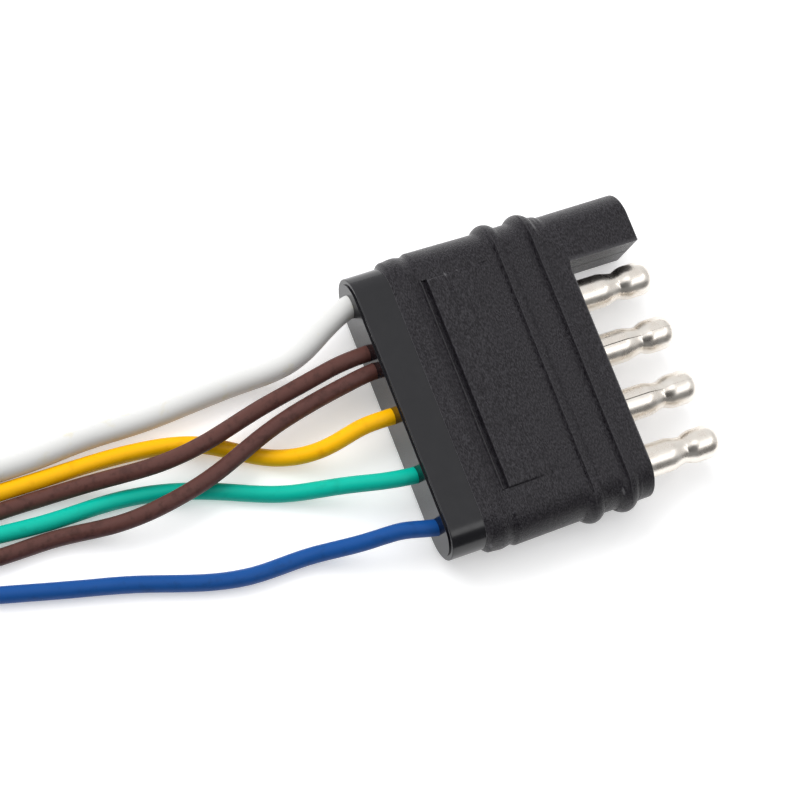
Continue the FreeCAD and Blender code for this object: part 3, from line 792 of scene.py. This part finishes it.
def conductor(name, material):
    """Seven copper strands, twisted round each other, with slightly uneven cut ends."""
    shell = Shell()
    table = route(name + "_strands_fixed", name + "_strands_free")
    _, bundle = jacket_radii(name)
    strand = bundle / STRANDS_ACROSS
    front_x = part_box(name + "_strands_fixed")[1].x
    rear_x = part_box(name + "_strands_free")[0].x
    for i in range(STRANDS_ROUND_CORE + 1):
        distance = 2 * strand if i else 0.0
        start_angle = 2 * math.pi * i / STRANDS_ROUND_CORE
        end_x = rear_x + STRAND_UNEVENNESS * (1 + math.sin(STRAND_END_SHIFT * i))
        count = round((front_x - end_x) / LEAD_STEP)
        rings = []
        for x in spread(front_x, end_x, count) + [end_x]:
            angle = start_angle + 2 * math.pi * (front_x - x) / STRAND_LAY
            offset = (distance * math.cos(angle), distance * math.sin(angle))
            rings.append(shell.ring(ring_on_route(table, x, strand, STRAND_SIDES, offset)))
        for first, second in zip(rings, rings[1:]):
            shell.strip(first, second)
        shell.cap(rings[0])
        shell.cap(rings[-1])
    piece = shell.piece(name + "_conductor", material)
    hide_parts(name + "_strands_fixed", name + "_strands_free")
    return piece


def bend_with_lead(piece):
    """Bakes the piece's placement into its mesh. The piece is not attached to any body."""
    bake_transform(piece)


# Materials

class Graph:
    """Shader nodes of a material or of the world, and the links between them."""

    def __init__(self, name, owner=None):
        self.material = owner or bpy.data.materials.new(name)
        self.material.use_nodes = True
        self.nodes = self.material.node_tree.nodes
        self.links = self.material.node_tree.links
        self.shader = self.nodes.get("Principled BSDF")
        place = self.nodes.new("ShaderNodeTexCoord")
        self.place = place.outputs["Object"]
        self.direction = place.outputs["Generated"]

    def feed(self, socket, value):
        """Gives an input a plain value or the output of another node."""
        if isinstance(value, bpy.types.NodeSocket):
            self.links.new(value, socket)
        else:
            socket.default_value = value

    def stretched(self, scale):
        """The place, scaled by a different amount along each axis."""
        mapping = self.nodes.new("ShaderNodeMapping")
        mapping.inputs["Scale"].default_value = scale
        self.links.new(self.place, mapping.inputs["Vector"])
        return mapping.outputs["Vector"]

    def noise(self, size, detail=2.0, rough=0.5, place=None):
        """Soft random pattern whose blotches are about size across."""
        noise = self.nodes.new("ShaderNodeTexNoise")
        noise.inputs["Scale"].default_value = 1 / size
        noise.inputs["Detail"].default_value = detail
        noise.inputs["Roughness"].default_value = rough
        self.links.new(place or self.place, noise.inputs["Vector"])
        return noise.outputs["Fac"]

    def edges(self):
        """How much the surface bends: 0.5 on a flat, more on an edge and less in a hollow."""
        return self.nodes.new("ShaderNodeNewGeometry").outputs["Pointiness"]

    def spread(self, value, low, high, to_low=0.0, to_high=1.0):
        """Stretches a value's range from (low, high) to (to_low, to_high), cut off at both ends."""
        stretch = self.nodes.new("ShaderNodeMapRange")
        self.links.new(value, stretch.inputs["Value"])
        ends = {"From Min": low, "From Max": high, "To Min": to_low, "To Max": to_high}
        for label, number in ends.items():
            stretch.inputs[label].default_value = number
        return stretch.outputs["Result"]

    def maths(self, operation, first, second):
        """One sum of two values."""
        node = self.nodes.new("ShaderNodeMath")
        node.operation = operation
        self.feed(node.inputs[0], first)
        self.feed(node.inputs[1], second)
        return node.outputs["Value"]

    def mix(self, share, first, second):
        """Colour between two colours."""
        node = self.nodes.new("ShaderNodeMix")
        node.data_type = "RGBA"
        self.feed(node.inputs["Factor"], share)
        self.feed(node.inputs["A"], first)
        self.feed(node.inputs["B"], second)
        return node.outputs["Result"]

    def nearness(self, direction):
        """How near the looked-up direction of the world is to a given one: 1 when it is the same."""
        node = self.nodes.new("ShaderNodeVectorMath")
        node.operation = "DOT_PRODUCT"
        self.links.new(self.direction, node.inputs[0])
        node.inputs[1].default_value = direction
        return node.outputs["Value"]

    def relief(self, height, depth, strength=1.0):
        """Fine surface relief of the given depth."""
        node = self.nodes.new("ShaderNodeBump")
        node.inputs["Strength"].default_value = strength
        node.inputs["Distance"].default_value = depth
        self.links.new(height, node.inputs["Height"])
        return node.outputs["Normal"]

    def finish(self, tone, roughness, normal=None, metallic=0.0, specular=0.5):
        """Feeds the material's shader and gives back the finished material."""
        self.feed(self.shader.inputs["Base Color"], tone)
        self.feed(self.shader.inputs["Roughness"], roughness)
        self.feed(self.shader.inputs["Metallic"], metallic)
        self.feed(self.shader.inputs["Specular IOR Level"], specular)
        if normal:
            self.feed(self.shader.inputs["Normal"], normal)
        return self.material


def colour(red, green, blue):
    """Opaque colour of linear red, green and blue."""
    return (red, green, blue, 1.0)


def overmould_rubber():
    """Charcoal rubber with a fine brushed grain along the row, and a lighter tone painted on its edges as
    a highlight.
    """
    graph = Graph("overmould_rubber")
    brushed = graph.stretched((1.0, 0.4, 1.0))
    grain = graph.noise(0.16 * MM, detail=2.0, rough=0.6, place=brushed)
    coarse = graph.noise(0.45 * MM, detail=3.0, rough=0.6, place=brushed)
    fine_part = graph.maths("MULTIPLY", grain, 0.7)
    coarse_part = graph.maths("MULTIPLY", coarse, 0.3)
    height = graph.maths("ADD", fine_part, coarse_part)
    worn = graph.spread(graph.noise(6 * MM, detail=3.0), 0.35, 0.7)
    dark, light = colour(0.004, 0.003, 0.005), colour(0.036, 0.034, 0.039)
    grained = graph.mix(graph.spread(grain, 0.4, 0.7), dark, light)
    # Painted highlight: a lighter tone on convex edges, standing in for the light that the crests of the
    # ribs and pad catch.
    edge_highlight = graph.spread(graph.edges(), 0.52, 0.6)
    tone = graph.mix(edge_highlight, grained, colour(0.075, 0.073, 0.078))
    roughness = graph.spread(worn, 0.0, 1.0, 0.26, 0.34)
    return graph.finish(tone, roughness, graph.relief(height, 0.13 * MM, 1.0), specular=0.25)


def collar_plastic():
    """Smoother black plastic with a satin face."""
    graph = Graph("collar_plastic")
    fine = graph.noise(0.18 * MM, detail=2.0)
    cloud = graph.noise(3 * MM, detail=3.0)
    tone = graph.mix(cloud, colour(0.003, 0.003, 0.005), colour(0.006, 0.006, 0.008))
    roughness = graph.spread(graph.noise(1.2 * MM, detail=3.0), 0.3, 0.7, 0.15, 0.22)
    return graph.finish(tone, roughness, graph.relief(fine, 0.002 * MM, 0.5), specular=0.5)


def nickel():
    """Bright nickel plate with faint drawing lines along the terminal."""
    graph = Graph("nickel_plate")
    lines = graph.noise(0.2 * MM, detail=2.0, place=graph.stretched((0.08, 1.0, 1.0)))
    cloud = graph.spread(graph.noise(1.6 * MM, detail=3.0), 0.3, 0.7)
    tone = graph.mix(cloud, colour(0.80, 0.74, 0.67), colour(0.88, 0.84, 0.78))
    roughness = graph.spread(cloud, 0.0, 1.0, 0.24, 0.34)
    return graph.finish(tone, roughness, graph.relief(lines, 0.002 * MM, 0.5), metallic=1.0)


def copper():
    """Bare copper strands, a little dulled in patches."""
    graph = Graph("copper_strand")
    dull = graph.spread(graph.noise(0.9 * MM, detail=3.0), 0.4, 0.7)
    tone = graph.mix(dull, colour(0.86, 0.42, 0.24), colour(0.55, 0.26, 0.15))
    roughness = graph.spread(dull, 0.0, 1.0, 0.25, 0.45)
    scratches = graph.noise(0.15 * MM, detail=2.0, place=graph.stretched((0.1, 1.0, 1.0)))
    return graph.finish(tone, roughness, graph.relief(scratches, 0.005 * MM, 0.5), metallic=1.0)


STAIN_FADE = 0.18


def pvc(name, clean, stained, stain_size, stain_low):
    """Extruded insulation: soft sheen, faint drag lines, and stains where it has been handled."""
    graph = Graph(name + "_pvc")
    stain = graph.spread(graph.noise(stain_size, detail=4.0, rough=0.6), stain_low, stain_low + STAIN_FADE)
    tone = graph.mix(stain, clean, stained)
    drag = graph.noise(0.35 * MM, detail=3.0, place=graph.stretched((0.3, 1.0, 1.0)))
    roughness = graph.spread(graph.noise(2 * MM, detail=3.0), 0.3, 0.7, 0.38, 0.52)
    return graph.finish(tone, roughness, graph.relief(drag, 0.02 * MM, 0.5), specular=0.2)


PVC_LOOKS = {
    "white": (colour(0.57, 0.57, 0.56), colour(0.56, 0.53, 0.43), 3.0 * MM, 0.56),
    "brown_upper": (colour(0.088, 0.036, 0.030), colour(0.060, 0.025, 0.021), 1.4 * MM, 0.5),
    "brown_lower": (colour(0.085, 0.035, 0.030), colour(0.058, 0.024, 0.020), 1.4 * MM, 0.5),
    "yellow": (colour(0.82, 0.42, 0.0), colour(0.72, 0.34, 0.0), 2.5 * MM, 0.55),
    "green": (colour(0.0, 0.40, 0.30), colour(0.0, 0.33, 0.24), 2.5 * MM, 0.55),
    "blue": (colour(0.006, 0.064, 0.25), colour(0.005, 0.050, 0.19), 2.5 * MM, 0.55),
}


# Stage, lights and camera

CAMERA_AZIMUTH = math.radians(-60.7)
CAMERA_ELEVATION = math.radians(68.2)
CAMERA_ROLL = math.radians(40.9)
CAMERA_DISTANCE = 423 * MM
CAMERA_TARGET = Vector((-30.1 * MM, 2.4 * MM, 0.0))
CAMERA_BACK = Vector((
    math.sin(CAMERA_AZIMUTH) * math.cos(CAMERA_ELEVATION),
    -math.cos(CAMERA_AZIMUTH) * math.cos(CAMERA_ELEVATION),
    math.sin(CAMERA_ELEVATION),
))

# Middles of the dark and the bright part of the white tent, as directions from the object
DARK_SPOT = (CAMERA_BACK + Vector((0.0, -0.3, 0.0))).normalized()
BRIGHT_SPOT = Vector((-0.05, 0.17, 0.98)).normalized()
FLOOR_SIZE = 3.0


def lit_white(name, value, roughness, glow):
    """White sheet of a light table, which lights up the shadows a little from below."""
    graph = Graph(name)
    speck = graph.noise(40 * MM, detail=2.0)
    tone = graph.mix(speck, colour(value, value, value), colour(value * 0.99, value * 0.99, value))
    graph.shader.inputs["Emission Color"].default_value = colour(1.0, 1.0, 1.0)
    graph.shader.inputs["Emission Strength"].default_value = glow
    return graph.finish(tone, roughness, specular=0.2)


def floor():
    """Large level sheet that the connector lies on."""
    mesh = bpy.data.meshes.new("floor")
    sides = ((-1, -1), (1, -1), (1, 1), (-1, 1))
    corners = [(x * FLOOR_SIZE, y * FLOOR_SIZE, FLOOR_Z) for x, y in sides]
    mesh.from_pydata(corners, [], [(0, 1, 2, 3)])
    mesh.materials.append(lit_white("floor_white", 0.86, 0.8, 0.34))
    made = bpy.data.objects.new("floor", mesh)
    bpy.context.scene.collection.objects.link(made)


def softbox(name, place, target, width, height, power, mirrored):
    """Square-cornered area light. An unmirrored one gives light but doesn't show in glossy faces."""
    light = bpy.data.lights.new(name, "AREA")
    light.shape = "RECTANGLE"
    light.size = width
    light.size_y = height
    light.energy = power
    made = bpy.data.objects.new(name, light)
    made.location = place
    made.rotation_mode = "QUATERNION"
    made.rotation_quaternion = (Vector(target) - Vector(place)).to_track_quat("-Z", "Y")
    made.visible_glossy = mirrored
    bpy.context.scene.collection.objects.link(made)


def lights():
    """White tent, brightest at its top, dark low down on the -Y side and round the camera.
    A softbox in front of it and a large key light behind throw the shadow towards -Y and +X."""
    softbox(
        "overhead", (0.35, -0.20, 0.66), (0.0, 0.0, 0.0),
        width=0.70, height=0.20, power=0.6, mirrored=True,
    )
    softbox(
        "key", (-0.30, 0.60, 0.62), (-0.02, 0.0, 0.0),
        width=0.80, height=0.60, power=7.0, mirrored=False,
    )
    graph = Graph("studio", bpy.data.worlds.new("studio"))
    bpy.context.scene.world = graph.material
    axes = graph.nodes.new("ShaderNodeSeparateXYZ")
    graph.links.new(graph.direction, axes.inputs["Vector"])
    beside = graph.spread(axes.outputs["Y"], -0.3, -0.6, 0.0, 0.8)
    low = graph.spread(axes.outputs["Z"], 0.85, 0.6)
    dark_side = graph.maths("MULTIPLY", beside, low)
    dark_front = graph.spread(axes.outputs["X"], 0.5, 0.9, 0.0, 0.2)
    dark_camera = graph.spread(graph.nearness(DARK_SPOT), 0.86, 0.95, 0.0, 0.97)
    darkness = graph.maths("MAXIMUM", graph.maths("MAXIMUM", dark_side, dark_front), dark_camera)
    top_glow = graph.spread(graph.nearness(BRIGHT_SPOT), 0.955, 0.985)
    tent = graph.mix(top_glow, colour(1.0, 1.0, 1.0), colour(2.2, 2.2, 2.2))
    shade = graph.mix(darkness, tent, colour(0.03, 0.03, 0.03))
    seen = graph.nodes.new("ShaderNodeLightPath").outputs["Is Camera Ray"]
    background = graph.nodes["Background"]
    graph.feed(background.inputs["Color"], graph.mix(seen, shade, colour(1.0, 1.0, 1.0)))
    background.inputs["Strength"].default_value = 0.9


def camera():
    """High behind the rear face, turned about its own axis so that the leads run off to the left."""
    data = bpy.data.cameras.new("camera")
    data.lens = 135
    data.sensor_width = 36
    data.clip_start = 0.01
    made = bpy.data.objects.new("camera", data)
    made.location = CAMERA_TARGET + CAMERA_BACK * CAMERA_DISTANCE
    made.rotation_mode = "QUATERNION"
    made.rotation_quaternion = (-CAMERA_BACK).to_track_quat("-Z", "Y") @ Quaternion((0, 0, 1), CAMERA_ROLL)
    bpy.context.scene.collection.objects.link(made)
    bpy.context.scene.camera = made


def paint(node, material):
    """Gives a node that is kept from the frame its material."""
    slots = frame["nodes"][node].material_slots
    for slot in slots:
        slot.material = material
    if not slots:
        raise ValueError("the frame's node %s has no material slot" % node)


def build():
    """Every visible piece. The terminals and the overmould ride on the connector's body."""
    metal = nickel()
    bare = copper()
    for node in PIN_NODES:
        bullet_pin(node, metal)
    ground_socket(metal)
    paint("inner_moulding", collar_plastic())
    shell = overmould(overmould_rubber())
    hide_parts("overmould")
    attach(shell, "connector")
    for name in LEAD_NAMES:
        insulation = jacket(name, pvc(name, *PVC_LOOKS[name]))
        bend_with_lead(insulation)
        strands = conductor(name, bare)
        bend_with_lead(strands)


build()
floor()
lights()
camera()
bpy.context.scene.view_settings.view_transform = "Standard"
